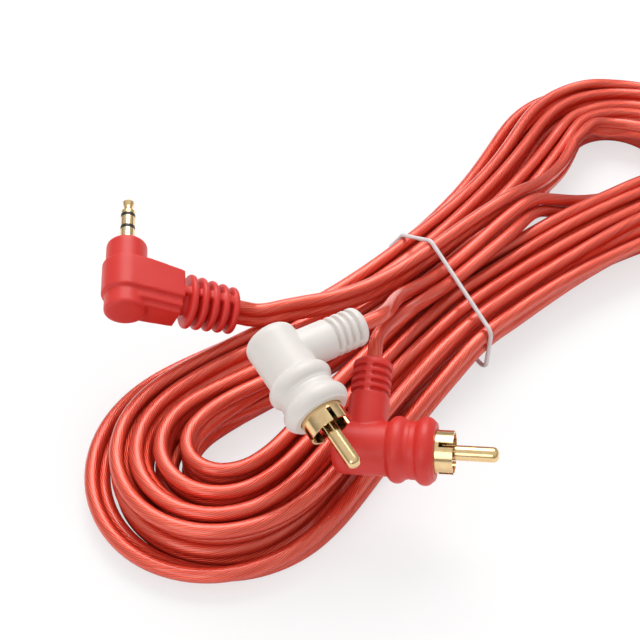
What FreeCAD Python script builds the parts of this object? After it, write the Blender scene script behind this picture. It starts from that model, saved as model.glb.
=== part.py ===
import FreeCAD, Part
import math
import os

import Sketcher

# A stereo lead put away as a hank: five metres of twin cord wound into a dog-bone bundle and tied
# at the waist, with a right-angle 3.5 mm jack on one end and two right-angle phono plugs on the
# other. X runs along the hank, Z is up, and the hank lies on Z = 0.

Vector = FreeCAD.Vector

doc = FreeCAD.newDocument("StereoLead")
sheet = doc.addObject("Spreadsheet::Sheet", "Sizes")

SIZES = [
    # cord: two round jackets side by side, joined by a web
    ("cord_diameter", 3.4),
    # hank: the outermost centre lines of its two ends and of its waist
    ("turn_gap", 1.2),
    ("layer_gap", 0.45),
    ("waist_half_width", 20.5),
    ("left_reach", 72.0),
    ("left_radius", 30.3),
    ("right_reach", 94.0),
    ("right_radius", 38.5),
    # tie
    ("tie_diameter", 1.1),
    ("tie_wire_diameter", 0.5),
    ("tie_clearance", 0.12),
    ("tie_slant", 17.0),
    ("tie_place", 2.3),
    ("lead_clearance", 0.3),
    # phono plugs: along the barrel from where the neck's axis crosses it
    ("pin_radius", 1.6),
    ("pin_stem_radius", 1.0),
    ("pin_tip", 28.4),
    ("pin_stem_start", 8.0),
    ("shell_radius", 4.6),
    ("shell_wall", 0.45),
    ("shell_rim", 19.2),
    ("shell_slot_width", 1.0),
    ("shell_slot_length", 2.9),
    ("insulator_radius", 2.6),
    ("insulator_front", 15.0),
    ("core_front", 12.2),
    ("core_radius", 4.3),
    ("core_back", 4.2),
    ("core_neck_radius", 2.5),
    ("core_neck_length", 9.5),
    ("barrel_radius", 5.8),
    ("barrel_back", 6.4),
    ("barrel_round", 1.7),
    ("bead_place", 7.4),
    ("bead_radius", 2.1),
    ("bead_height", 1.1),
    ("collar_radius", 6.15),
    ("barrel_front", 15.4),
    ("neck_radius", 4.4),
    ("neck_length", 20.0),
    ("groove_width", 0.8),
    ("groove_pitch", 1.8),
    ("groove_first", 11.7),
    ("groove_core", 3.3),
    # jack: along its shaft from where the arm's axis crosses it
    ("jack_radius", 1.75),
    ("jack_tip_radius", 1.45),
    ("jack_waist_radius", 1.15),
    ("jack_shaft_start", 12.8),
    ("jack_shaft_length", 14.0),
    ("jack_sleeve_length", 4.3),
    ("jack_ring_length", 2.7),
    ("jack_band", 1.0),
    ("jack_rod_radius", 0.5),
    ("jack_tube_wall", 0.25),
    ("jack_sleeve_root_radius", 1.55),
    ("head_radius", 5.6),
    ("head_front", 6.2),
    ("head_back", 6.0),
    ("collar_ring_radius", 4.85),
    ("disc_height", 0.8),
    ("disc_radius", 4.8),
    ("edge_round", 1.2),
    ("step_round", 0.5),
    ("arm_length", 13.0),
    ("arm_half_width", 5.3),
    ("arm_half_height", 4.7),
    ("arm_round", 1.6),
    ("jack_core_radius", 3.4),
    ("jack_core_back", 3.0),
    ("jack_core_neck", 2.6),
    ("jack_core_length", 11.0),
    ("boot_length", 14.0),
    ("boot_half_width", 6.9),
    ("boot_half_height", 6.0),
    ("boot_end_half_width", 6.1),
    ("boot_end_half_height", 5.1),
    ("boot_core", 4.3),
    ("boot_gap", 1.1),
    ("boot_pitch", 2.75),
    ("boot_first", 13.9),
    # places of the plugs, in the hank's frame, and how they are turned
    ("white_x", -61.4), ("white_y", -8.6), ("white_z", 37.0),
    ("white_yaw", -102.0), ("white_pitch", 12.0), ("white_roll", -4.0),
    ("red_x", -56.5), ("red_y", -28.2), ("red_z", 20.3),
    ("red_yaw", -56.0), ("red_pitch", -9.0), ("red_roll", 20.0),
    ("jack_x", -68.1), ("jack_y", 37.3), ("jack_z", 31.0),
    ("jack_yaw", 49.6), ("jack_pitch", -11.5), ("jack_roll", 206.0),
]
for row, (alias, value) in enumerate(SIZES, start=1):
    sheet.set(f"A{row}", alias)
    sheet.set(f"B{row}", str(value))
    sheet.setAlias(f"B{row}", alias)
doc.recompute()


def size(alias):
    return float(sheet.get(alias))


# Sketches: every corner is held by two formulas of the sheet's values

def origin_plane(body, role):
    return next(feature for feature in body.Origin.OriginFeatures if feature.Role == role)


def new_sketch(body, name, role):
    sketch = body.newObject("Sketcher::SketchObject", name)
    sketch.AttachmentSupport = (origin_plane(body, role), [""])
    sketch.MapMode = "FlatFace"
    return sketch


def hold(sketch, kind, geometry, point, formula):
    index = sketch.addConstraint(Sketcher.Constraint(kind, -1, 1, geometry, point, 1.0))
    sketch.setExpression(f"Constraints[{index}]", formula)


def outline(sketch, corners):
    first = sketch.GeometryCount
    count = len(corners)
    start = [
        Vector(10 * math.cos(2 * math.pi * i / count), 10 * math.sin(2 * math.pi * i / count), 0)
        for i in range(count)
    ]
    for i in range(count):
        sketch.addGeometry(Part.LineSegment(start[i], start[(i + 1) % count]))
    for i in range(count):
        following = first + (i + 1) % count
        sketch.addConstraint(Sketcher.Constraint("Coincident", first + i, 2, following, 1))
    for i, (across, up) in enumerate(corners):
        hold(sketch, "DistanceX", first + i, 1, across)
        hold(sketch, "DistanceY", first + i, 1, up)


def circle(sketch, across, up, radius):
    index = sketch.addGeometry(Part.Circle(Vector(1, 1, 0), Vector(0, 0, 1), 1.0))
    hold(sketch, "DistanceX", index, 3, across)
    hold(sketch, "DistanceY", index, 3, up)
    radius_index = sketch.addConstraint(Sketcher.Constraint("Radius", index, 1.0))
    sketch.setExpression(f"Constraints[{radius_index}]", radius)


def turned(body, name, sketch, axis, kind="PartDesign::Revolution", angle=360.0):
    feature = body.newObject(kind, name)
    feature.Profile = sketch
    feature.ReferenceAxis = (sketch, [axis])
    feature.Angle = angle
    sketch.Visibility = False
    return feature


def turned_piece(name, corners):
    """A body turned about X from one outline, drawn on the side away from any neck or arm."""
    body = doc.addObject("PartDesign::Body", name)
    body.Label = name
    sketch = new_sketch(body, name + "_profile", "XY_Plane")
    outline(sketch, [(across, f"-({up})") for across, up in corners])
    turned(body, name + "_turned", sketch, "H_Axis")
    doc.recompute()
    return body


def s(alias):
    return "Sizes." + alias


def cylinder_cut(body, name, plane, axis, start, end, radius):
    """Removes a cylinder about a sketch axis, from start to end along it."""
    sketch = new_sketch(body, name + "_profile", plane)
    if axis == "H_Axis":
        outline(sketch, [(start, "0"), (end, "0"), (end, f"-({radius})"), (start, f"-({radius})")])
    else:
        outline(sketch, [("0", start), ("0", end), (radius, end), (radius, start)])
    return turned(body, name, sketch, axis, "PartDesign::Groove")


def round_edges(body, name, radius, chosen):
    """Rounds the edges of the body's last shape that the test picks."""
    doc.recompute()
    base = body.Tip
    names = [f"Edge{i}" for i, edge in enumerate(base.Shape.Edges, start=1) if chosen(edge)]
    fillet = body.newObject("PartDesign::Fillet", name)
    fillet.Base = (base, names)
    fillet.setExpression("Radius", radius)
    doc.recompute()
    return fillet


def circular_at(place, radius):
    """Picks circles about X at a place along it."""
    def test(edge):
        if not isinstance(edge.Curve, Part.Circle):
            return False
        centre = edge.Curve.Center
        return abs(centre.x - place) < 0.01 and abs(edge.Curve.Radius - radius) < 0.01
    return test


def boot_grooves(body, name, places, plane, along, core, reach, width):
    """Cuts part-round grooves in a boot that runs along Y; two bridges stay in each."""
    sketch = new_sketch(body, name + "_profile", plane)
    for place in places:
        low, high = place, f"{place} + {width}"
        if along == "V_Axis":
            outline(sketch, [(core, low), (reach, low), (reach, high), (core, high)])
        else:
            outline(sketch, [(low, core), (high, core), (high, reach), (low, reach)])
    groove = turned(body, name, sketch, along, "PartDesign::Groove", 152.0)
    groove.Midplane = True
    doc.recompute()
    before = groove.BaseFeature.Shape.Volume
    if not groove.Shape.Volume < before - 0.5:
        raise RuntimeError(name + " cuts nothing")
    pair = body.newObject("PartDesign::PolarPattern", name + "_pair")
    pair.Originals = [groove]
    pair.Axis = (sketch, [along])
    pair.Angle = 360.0
    pair.Occurrences = 2
    body.Tip = pair
    doc.recompute()


pieces = []


def keep(piece, placement=None):
    if placement is not None:
        piece.Placement = placement
    pieces.append(piece)


def plug_placement(plug):
    rotation = FreeCAD.Rotation(size(plug + "_yaw"), size(plug + "_pitch"), size(plug + "_roll"))
    return FreeCAD.Placement(Vector(size(plug + "_x"), size(plug + "_y"), size(plug + "_z")), rotation)


# Phono plugs: a moulded right-angle body over a hard core, with a plated pin, an insulator and a
# slotted shell. The barrel lies along the plug's own X and the neck along its Y.

def phono_pin(name):
    body = turned_piece(name, [
        (s("pin_stem_start"), "0"),
        (s("pin_tip"), "0"),
        (s("pin_tip"), f"{s('pin_radius')} * 0.2"),
        (s("pin_tip"), s("pin_radius")),
        (s("insulator_front"), s("pin_radius")),
        (s("insulator_front"), s("pin_stem_radius")),
        (s("pin_stem_start"), s("pin_stem_radius")),
    ])
    nose = circular_at(size("pin_tip"), size("pin_radius"))
    round_edges(body, name + "_nose", f"{s('pin_radius')} * 0.78", nose)
    return body


def phono_shell(name):
    front, back = s("shell_rim"), s("core_front")
    outer, inner = s("shell_radius"), f"{s('shell_radius')} - {s('shell_wall')}"
    floor = f"{s('core_front')} + {s('shell_wall')}"
    body = turned_piece(name, [
        (back, s("insulator_radius")),
        (floor, s("insulator_radius")),
        (floor, inner),
        (front, inner),
        (front, outer),
        (back, outer),
    ])
    sketch = new_sketch(body, name + "_slot_profile", "XY_Plane")
    half, reach = f"{s('shell_slot_width')} / 2", f"{s('shell_radius')} + 1"
    start, past = f"{s('shell_rim')} - {s('shell_slot_length')}", f"{s('shell_rim')} + 1"
    outline(sketch, [(start, f"-{half}"), (past, f"-{half}"), (past, half), (start, half)])
    slot = body.newObject("PartDesign::Pocket", name + "_slot")
    slot.Profile = sketch
    slot.setExpression("Length", reach)
    slot.Reversed = True
    doc.recompute()
    if not slot.Shape.Volume < slot.BaseFeature.Shape.Volume - 0.5:
        raise RuntimeError(name + " slot cuts nothing")
    pattern = body.newObject("PartDesign::PolarPattern", name + "_slots")
    pattern.Originals = [slot]
    pattern.Axis = (origin_plane(body, "X_Axis"), [""])
    pattern.Angle = 360.0
    pattern.Occurrences = 4
    body.Tip = pattern
    doc.recompute()
    return body


def phono_core(name):
    body = turned_piece(name, [
        (f"-{s('core_back')}", "0"),
        (s("core_front"), "0"),
        (s("core_front"), s("core_radius")),
        (f"-{s('core_back')}", s("core_radius")),
    ])
    neck = new_sketch(body, name + "_neck_profile", "XY_Plane")
    outline(neck, [
        ("0", "0"),
        (s("core_neck_radius"), "0"),
        (s("core_neck_radius"), s("core_neck_length")),
        ("0", s("core_neck_length")),
    ])
    turned(body, name + "_neck", neck, "V_Axis")
    cylinder_cut(body, name + "_stem_bore", "XY_Plane", "H_Axis", s("pin_stem_start"),
                 s("core_front"), s("pin_stem_radius"))
    doc.recompute()
    return body


def phono_body(name, groove_side):
    body = turned_piece(name, [
        (f"-{s('barrel_back')}", "0"),
        (s("barrel_front"), "0"),
        (s("barrel_front"), s("collar_radius")),
        (s("bead_place"), s("collar_radius")),
        (s("bead_place"), s("barrel_radius")),
        (f"-{s('barrel_back')}", s("barrel_radius")),
    ])
    back = circular_at(-size("barrel_back"), size("barrel_radius"))
    round_edges(body, name + "_back_round", s("barrel_round"), back)
    # two rounded beads, one where the barrel steps up and one at its mouth
    beads = new_sketch(body, name + "_bead_profile", "XY_Plane")
    lift = f"{s('collar_radius')} + {s('bead_height')} - {s('bead_radius')}"
    circle(beads, s("bead_place"), f"{lift} - 0.15", s("bead_radius"))
    circle(beads, f"{s('barrel_front')} - {s('bead_radius')}", lift, s("bead_radius"))
    turned(body, name + "_beads", beads, "H_Axis")
    neck = new_sketch(body, name + "_neck_profile", "YZ_Plane")
    outline(neck, [
        ("0", "0"),
        (s("neck_length"), "0"),
        (s("neck_length"), s("neck_radius")),
        ("0", s("neck_radius")),
    ])
    turned(body, name + "_neck", neck, "H_Axis")
    doc.recompute()

    def boot_end(edge):
        curve = edge.Curve
        return isinstance(curve, Part.Circle) and abs(curve.Center.y - size("neck_length")) < 0.01
    round_edges(body, name + "_boot_round", s("edge_round"), boot_end)
    reach = f"{s('neck_radius')} + 1"
    spots = [f"{s('groove_first')} + {i} * {s('groove_pitch')}" for i in range(4)]
    boot_grooves(body, name + "_grooves", spots, *groove_side, s("groove_core"), reach,
                 s("groove_width"))
    # room for the core, the shell and the cord's end
    cylinder_cut(body, name + "_core_room", "XY_Plane", "H_Axis", f"-{s('core_back')}",
                 s("core_front"), s("core_radius"))
    cylinder_cut(body, name + "_shell_room", "XY_Plane", "H_Axis", s("core_front"),
                 f"{s('barrel_front')} + 1", s("shell_radius"))
    cylinder_cut(body, name + "_neck_room", "XY_Plane", "V_Axis", "0",
                 s("core_neck_length"), s("core_neck_radius"))
    cylinder_cut(body, name + "_cord_room", "XY_Plane", "V_Axis", s("core_neck_length"),
                 f"{s('neck_length')} + 1", f"{s('cord_diameter')} / 2")
    doc.recompute()
    return body


def phono_plug(plug, groove_side):
    placement = plug_placement(plug)
    keep(phono_pin(plug + "_pin"), placement)
    keep(turned_piece(plug + "_insulator", [
        (s("core_front"), s("pin_stem_radius")),
        (s("insulator_front"), s("pin_stem_radius")),
        (s("insulator_front"), s("insulator_radius")),
        (s("core_front"), s("insulator_radius")),
    ]), placement)
    keep(phono_shell(plug + "_shell"), placement)
    keep(phono_core(plug + "_core"), placement)
    keep(phono_body(plug + "_body", groove_side), placement)
    end = doc.addObject("Part::Cylinder", plug + "_cord_end")
    end.Label = plug + "_cord_end"
    end.setExpression("Radius", f"{s('cord_diameter')} / 2")
    end.setExpression("Height", f"{s('neck_length')} - {s('core_neck_length')}")
    along_neck = FreeCAD.Placement(
        Vector(0, size("core_neck_length"), 0), FreeCAD.Rotation(Vector(0, 0, 1), Vector(0, 1, 0)))
    keep(end, placement.multiply(along_neck))


# the bridges in the grooves lie in line with the barrel on one plug and across it on the other
phono_plug("white", ("YZ_Plane", "H_Axis"))
phono_plug("red", ("XY_Plane", "V_Axis"))


# Jack: three plated contacts with insulating bands between them, nested as tubes about one rod,
# and a moulded right-angle body with a ribbed boot. The shaft lies along X and the arm along Y.

TUBES = {
    "rod": s("jack_rod_radius"),
    "first": f"{s('jack_rod_radius')} + {s('jack_tube_wall')}",
    "second": f"{s('jack_rod_radius')} + 2 * {s('jack_tube_wall')}",
    "third": f"{s('jack_rod_radius')} + 3 * {s('jack_tube_wall')}",
}
END = f"{s('jack_shaft_start')} + {s('jack_shaft_length')}"
SLEEVE_END = f"{s('jack_shaft_start')} + {s('jack_sleeve_length')}"
BAND_END = f"{SLEEVE_END} + {s('jack_band')}"
RING_END = f"{BAND_END} + {s('jack_ring_length')}"
TIP_START = f"{RING_END} + {s('jack_band')}"
JACK_BACK = f"{s('jack_shaft_start')} - 6"

jack_placement = plug_placement("jack")
keep(turned_piece("jack_tip", [
    (f"{JACK_BACK} - 3", "0"),
    (END, "0"),
    (END, f"{s('jack_waist_radius')} * 0.45"),
    (f"{END} - 1.1", s("jack_tip_radius")),
    (f"{END} - 2.5", s("jack_waist_radius")),
    (f"{END} - 3.3", s("jack_waist_radius")),
    (f"{END} - 4.1", s("jack_radius")),
    (TIP_START, s("jack_radius")),
    (TIP_START, TUBES["rod"]),
    (f"{JACK_BACK} - 3", TUBES["rod"]),
]), jack_placement)
keep(turned_piece("jack_tip_insulator", [
    (f"{JACK_BACK} - 2", TUBES["rod"]),
    (TIP_START, TUBES["rod"]),
    (TIP_START, s("jack_radius")),
    (RING_END, s("jack_radius")),
    (RING_END, TUBES["first"]),
    (f"{JACK_BACK} - 2", TUBES["first"]),
]), jack_placement)
keep(turned_piece("jack_ring", [
    (f"{JACK_BACK} - 1.5", TUBES["first"]),
    (RING_END, TUBES["first"]),
    (RING_END, s("jack_radius")),
    (BAND_END, s("jack_radius")),
    (BAND_END, TUBES["second"]),
    (f"{JACK_BACK} - 1.5", TUBES["second"]),
]), jack_placement)
keep(turned_piece("jack_ring_insulator", [
    (f"{JACK_BACK} - 1", TUBES["second"]),
    (BAND_END, TUBES["second"]),
    (BAND_END, s("jack_radius")),
    (SLEEVE_END, s("jack_radius")),
    (SLEEVE_END, TUBES["third"]),
    (f"{JACK_BACK} - 1", TUBES["third"]),
]), jack_placement)
keep(turned_piece("jack_sleeve", [
    (JACK_BACK, TUBES["third"]),
    (SLEEVE_END, TUBES["third"]),
    (SLEEVE_END, s("jack_radius")),
    (s("jack_shaft_start"), s("jack_radius")),
    (s("jack_shaft_start"), s("jack_sleeve_root_radius")),
    (JACK_BACK, s("jack_sleeve_root_radius")),
]), jack_placement)

jack_core = turned_piece("jack_core", [
    (f"-{s('jack_core_back')}", "0"),
    (JACK_BACK, "0"),
    (JACK_BACK, s("jack_core_radius")),
    (f"-{s('jack_core_back')}", s("jack_core_radius")),
])
core_neck = new_sketch(jack_core, "jack_core_neck_profile", "XY_Plane")
outline(core_neck, [
    ("0", "0"),
    (s("jack_core_neck"), "0"),
    (s("jack_core_neck"), s("jack_core_length")),
    ("0", s("jack_core_length")),
])
turned(jack_core, "jack_core_neck_turned", core_neck, "V_Axis")
for step, (reach, radius) in enumerate([("3", TUBES["rod"]), ("2", TUBES["first"]),
                                        ("1.5", TUBES["second"]), ("1", TUBES["third"])]):
    cylinder_cut(jack_core, f"jack_core_bore_{step}", "XY_Plane", "H_Axis",
                 f"{JACK_BACK} - {reach}", JACK_BACK, radius)
doc.recompute()
keep(jack_core, jack_placement)


def ellipse_section(body, name, place, half_width, half_height):
    sketch = new_sketch(body, name, "XZ_Plane")
    sketch.setExpression("AttachmentOffset.Base.z", f"-({place})")
    ellipse = Part.Ellipse(Vector(0, 0, 0), size(half_width), size(half_height))
    index = sketch.addGeometry(ellipse)
    sketch.exposeInternalGeometry(index)
    sketch.addConstraint(Sketcher.Constraint("Coincident", index, 3, -1, 1))
    # the exposed long and short axes are full diameters
    across = sketch.addConstraint(Sketcher.Constraint("Distance", index + 1, 2 * size(half_width)))
    sketch.setExpression(f"Constraints[{across}]", f"2 * {s(half_width)}")
    up = sketch.addConstraint(Sketcher.Constraint("Distance", index + 2, 2 * size(half_height)))
    sketch.setExpression(f"Constraints[{up}]", f"2 * {s(half_height)}")
    sketch.addConstraint(Sketcher.Constraint("Horizontal", index + 1))
    return sketch


jack_body = turned_piece("jack_body", [
    (f"-{s('head_back')}", "0"),
    (s("jack_shaft_start"), "0"),
    (s("jack_shaft_start"), s("collar_ring_radius")),
    (s("head_front"), s("collar_ring_radius")),
    (s("head_front"), s("head_radius")),
    (f"-{s('head_back')}", s("head_radius")),
])


def jack_shoulders(edge):
    spots = [
        circular_at(-size("head_back"), size("head_radius")),
        circular_at(size("jack_shaft_start"), size("collar_ring_radius")),
    ]
    return any(test(edge) for test in spots)


round_edges(jack_body, "jack_shoulder_round", s("edge_round"), jack_shoulders)
head_step = circular_at(size("head_front"), size("head_radius"))
round_edges(jack_body, "jack_step_round", s("step_round"), head_step)
disc = new_sketch(jack_body, "jack_disc_profile", "XY_Plane")
outline(disc, [
    (f"-{s('head_back')} - {s('disc_height')}", "0"),
    ("0", "0"),
    ("0", s("disc_radius")),
    (f"-{s('head_back')} - {s('disc_height')}", s("disc_radius")),
])
turned(jack_body, "jack_disc", disc, "H_Axis")
arm_profile = new_sketch(jack_body, "jack_arm_profile", "XZ_Plane")
wide, tall, cut_corner = s("arm_half_width"), s("arm_half_height"), s("arm_round")
outline(arm_profile, [
    (f"-{wide} + {cut_corner}", f"-{tall}"), (f"{wide} - {cut_corner}", f"-{tall}"),
    (wide, f"-{tall} + {cut_corner}"), (wide, f"{tall} - {cut_corner}"),
    (f"{wide} - {cut_corner}", tall), (f"-{wide} + {cut_corner}", tall),
    (f"-{wide}", f"{tall} - {cut_corner}"), (f"-{wide}", f"-{tall} + {cut_corner}"),
])
arm = jack_body.newObject("PartDesign::Pad", "jack_arm")
arm.Profile = arm_profile
arm.setExpression("Length", s("arm_length"))
arm.Reversed = True
doc.recompute()
near = ellipse_section(jack_body, "jack_boot_near", s("arm_length"), "boot_half_width",
                       "boot_half_height")
far = ellipse_section(jack_body, "jack_boot_far", f"{s('arm_length')} + {s('boot_length')}",
                      "boot_end_half_width", "boot_end_half_height")
boot = jack_body.newObject("PartDesign::AdditiveLoft", "jack_boot")
boot.Profile = near
boot.Sections = [far]
boot.Ruled = True
doc.recompute()
spots = [f"{s('boot_first')} + {i} * {s('boot_pitch')}" for i in range(5)]
boot_reach = f"{s('boot_half_width')} + 2"
boot_grooves(jack_body, "jack_gaps", spots, "XY_Plane", "V_Axis", s("boot_core"), boot_reach,
             s("boot_gap"))
cylinder_cut(jack_body, "jack_core_room", "XY_Plane", "H_Axis", f"-{s('jack_core_back')}",
             JACK_BACK, s("jack_core_radius"))
cylinder_cut(jack_body, "jack_sleeve_room", "XY_Plane", "H_Axis", JACK_BACK,
             f"{s('jack_shaft_start')} + 1", s("jack_sleeve_root_radius"))
cylinder_cut(jack_body, "jack_neck_room", "XY_Plane", "V_Axis", "0", s("jack_core_length"),
             s("jack_core_neck"))
doc.recompute()


# Twin cord: two eight-sided jackets side by side, so that its section has fourteen corners

def jacket_corners(centre, radius):
    corner = radius / math.cos(math.pi / 8)
    angles = [math.radians(a) for a in (-112.5, -67.5, -22.5, 22.5, 67.5, 112.5)]
    return [(centre + corner * math.cos(a), corner * math.sin(a)) for a in angles]


def twin_corners():
    radius = size("cord_diameter") / 2
    web = radius * math.tan(math.pi / 8)
    one = jacket_corners(radius, radius)
    other = [(-x, -y) for x, y in one]
    return one + [(0.0, web)] + other + [(0.0, -web)]


def twin_section(place, direction):
    """The cord's section standing on edge, square to a direction."""
    side = direction.cross(Vector(0, 0, 1)).normalize()
    up = side.cross(direction).normalize()
    points = [place + up * along + side * across for along, across in twin_corners()]
    return Part.makePolygon(points + points[:1])


def swept(spine, section):
    shell = Part.BRepOffsetAPI.MakePipeShell(spine)
    shell.add(section)
    shell.build()
    shell.makeSolid()
    return shell.shape()


def route_path(points, label):
    """Straight runs joined by tangent arcs, each as large as its two runs allow."""
    points = [Vector(*point) for point in points]
    edges, start, radii = [], points[0], []
    for before, corner, after in zip(points, points[1:], points[2:]):
        into, out = (corner - before), (after - corner)
        turn = into.getAngle(out)
        shorter = min(into.Length, out.Length)
        cut = 0.45 * shorter
        radii.append(cut / math.tan(turn / 2))
        into.normalize()
        out.normalize()
        first, last = corner - into * cut, corner + out * cut
        middle = corner + (out - into).normalize() * (radii[-1] / math.cos(turn / 2) - radii[-1])
        edges.append(Part.LineSegment(start, first).toShape())
        edges.append(Part.Arc(first, middle, last).toShape())
        start = last
    edges.append(Part.LineSegment(start, points[-1]).toShape())
    path = Part.Wire(edges)
    print(f"{label}: {path.Length:.1f} mm, radii " + " ".join(f"{r:.0f}" for r in radii))
    return path


def solid_piece(name, shape):
    piece = doc.addObject("Part::Feature", name)
    piece.Label = name
    piece.Shape = shape
    keep(piece)
    return piece


# Hank: the cord stands on edge. Two families of half turns, concentric on each side of the waist,
# spiral out from the inside in the lower layer, climb in the outermost half turn on the left and
# spiral in again above. The right-hand family is centred half a step to the side, so that each
# half turn runs on into the next one.

cord = size("cord_diameter")
step = cord + size("turn_gap")
cut_depth = 0.1 * cord
LOWER = cord - cut_depth
UPPER = LOWER + 2 * cord + size("layer_gap")
LOOPS_LEFT = 5
waist = size("waist_half_width")


class Side:
    """One end of the hank: a round lobe, joined to the waist by arcs that bend the other way."""

    def __init__(self, reach, radius, sign, shift):
        self.reach, self.radius, self.sign, self.shift = reach, radius, sign, shift
        self.flare = (reach ** 2 + waist ** 2 - radius ** 2) / (2 * (radius - waist))

    def spot(self, inset, share, upper, height):
        """A point of one quarter turn: share 0 at the waist, 1 where the bend reverses, 2 at the end."""
        span = self.flare + self.radius
        tilt = math.asin(self.reach / span)
        outward = 1 if upper else -1
        if share <= 1:
            angle = share * tilt
            radius = self.flare + inset
            x = radius * math.sin(angle)
            y = waist + self.flare - radius * math.cos(angle)
        else:
            angle = tilt - (share - 1) * (tilt + math.pi / 2)
            radius = self.radius - inset
            x = self.reach - radius * math.sin(angle)
            y = radius * math.cos(angle)
        return Vector(self.sign * x, self.shift + outward * y, height)

    def arcs(self, inset, stops, upper, height):
        """Arcs through a quarter turn, from one share to the next."""
        made = []
        for first, last in zip(stops, stops[1:]):
            ends = [self.spot(inset, t, upper, height) for t in (first, (first + last) / 2, last)]
            made.append(Part.Arc(*ends).toShape())
        return made


left = Side(size("left_reach"), size("left_radius"), -1, 0.0)
right_lower = Side(size("right_reach"), size("right_radius"), 1, step / 2)
right_upper = Side(size("right_reach"), size("right_radius"), 1, -step / 2)


def biarc(start, heading, end, leaving):
    """Two arcs that run on into one another, between two points with given directions."""
    gap = end - start
    turn = 2 * (1 - heading.dot(leaving))
    reach = gap.dot(heading + leaving)
    length = (math.sqrt(reach ** 2 + turn * gap.dot(gap)) - reach) / turn
    first_corner, last_corner = start + heading * length, end - leaving * length
    middle = (first_corner + last_corner) * 0.5
    across = (last_corner - first_corner).normalize()
    made = []
    for near_end, direction, far_end in ((start, heading, middle), (middle, across, end)):
        chord = far_end - near_end
        side = (chord - direction * chord.dot(direction)).normalize()
        radius = chord.dot(chord) / (2 * chord.dot(side))
        centre = near_end + side * radius
        outward = (near_end + chord * 0.5 - centre).normalize()
        made.append(Part.Arc(near_end, centre + outward * radius, far_end).toShape())
    return made


def hank_path():
    edges = []
    inner = (LOOPS_LEFT - 1) * step
    # the inner end lies inside the right lobe, one cord's width straight
    start_inset = inner + step / 2
    inflection = right_lower.spot(start_inset, 1, False, LOWER)
    ahead = right_lower.spot(start_inset, 1.001, False, LOWER) - inflection
    ahead.normalize()
    edges.append(Part.LineSegment(inflection - ahead * 2 * cord, inflection).toShape())
    edges += right_lower.arcs(start_inset, (1, 2), False, LOWER)
    edges += right_lower.arcs(start_inset, (2, 1, 0), True, LOWER)
    for loop in range(LOOPS_LEFT - 1):
        inset = inner - loop * step
        edges += left.arcs(inset, (0, 1, 2), True, LOWER)
        edges += left.arcs(inset, (2, 1, 0), False, LOWER)
        edges += right_lower.arcs(inset - step / 2, (0, 1, 2), False, LOWER)
        edges += right_lower.arcs(inset - step / 2, (2, 1, 0), True, LOWER)
    # the outermost half turn climbs to the upper layer along its run back to the waist
    edges += left.arcs(0.0, (0, 1, 2), True, LOWER)
    edges += left.arcs(0.0, (2, 1), False, LOWER)
    foot = left.spot(0.0, 1, False, LOWER)
    before = left.spot(0.0, 1.001, False, LOWER)
    edges += biarc(foot, (foot - before).normalize(), left.spot(0.0, 0, False, UPPER), Vector(1, 0, 0))
    for loop in range(LOOPS_LEFT - 1):
        inset = step / 2 + loop * step
        edges += right_upper.arcs(inset, (0, 1, 2), False, UPPER)
        edges += right_upper.arcs(inset, (2, 1, 0), True, UPPER)
        edges += left.arcs(inset + step / 2, (0, 1, 2), True, UPPER)
        edges += left.arcs(inset + step / 2, (2, 1, 0), False, UPPER)
    edges += right_upper.arcs(start_inset, (0, 1, 2), False, UPPER)
    edges += right_upper.arcs(start_inset, (2, 1), True, UPPER)
    leaving = right_upper.spot(start_inset, 1, True, UPPER)
    before = right_upper.spot(start_inset, 1.001, True, UPPER)
    onward = (leaving - before).normalize()
    edges.append(Part.LineSegment(leaving, leaving + onward * 2 * cord).toShape())
    return Part.Wire(edges), ahead, onward


path, first_heading, last_heading = hank_path()
hank_start = path.Edges[0].Vertexes[0].Point
hank_end = path.OrderedVertexes[-1].Point
print("hank:", round(path.Length, 1), "mm in", 2 * LOOPS_LEFT, "loops, from", hank_start, "to", hank_end)
hank = swept(path, twin_section(hank_start, first_heading))
section_area = Part.Face(twin_section(hank_start, first_heading)).Area
print("volume", round(hank.Volume, 1), "against", round(section_area * path.Length, 1))

# least gap between turns, measured between points of the path that are a long way apart along it
spots = path.discretize(Distance=2.0)
cells = {}
for index, point in enumerate(spots):
    cells.setdefault((round(point.x / 8), round(point.y / 8)), []).append(index)
least = 100.0
for index, point in enumerate(spots):
    column, line = round(point.x / 8), round(point.y / 8)
    near_by = [j for i in (-1, 0, 1) for k in (-1, 0, 1) for j in cells.get((column + i, line + k), [])]
    for other in near_by:
        if other - index > 12:
            apart = spots[other] - point
            flat = math.hypot(apart.x, apart.y) - cord
            rise = abs(apart.z) - 2 * cord
            least = min(least, max(flat, rise))
print("least gap between turns", round(least, 3))

floor = Part.makeBox(400, 200, 20, Vector(-200, -100, -20))

# Leads: the free stretches between the hank and the plugs

jack_room = Vector(0, size("arm_length") + size("boot_length"), 0)
jack_mouth = jack_placement.multVec(jack_room)
jack_aim = jack_placement.Rotation.multVec(Vector(0, 1, 0))
TOP = UPPER + cord + size("lead_clearance")
LEAD_SIDE = 4.5
lead_height = TOP + cord
single_height = TOP + cord / 2


def along(start, direction, distance):
    end = start + direction * distance
    return (end.x, end.y, end.z)


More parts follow.
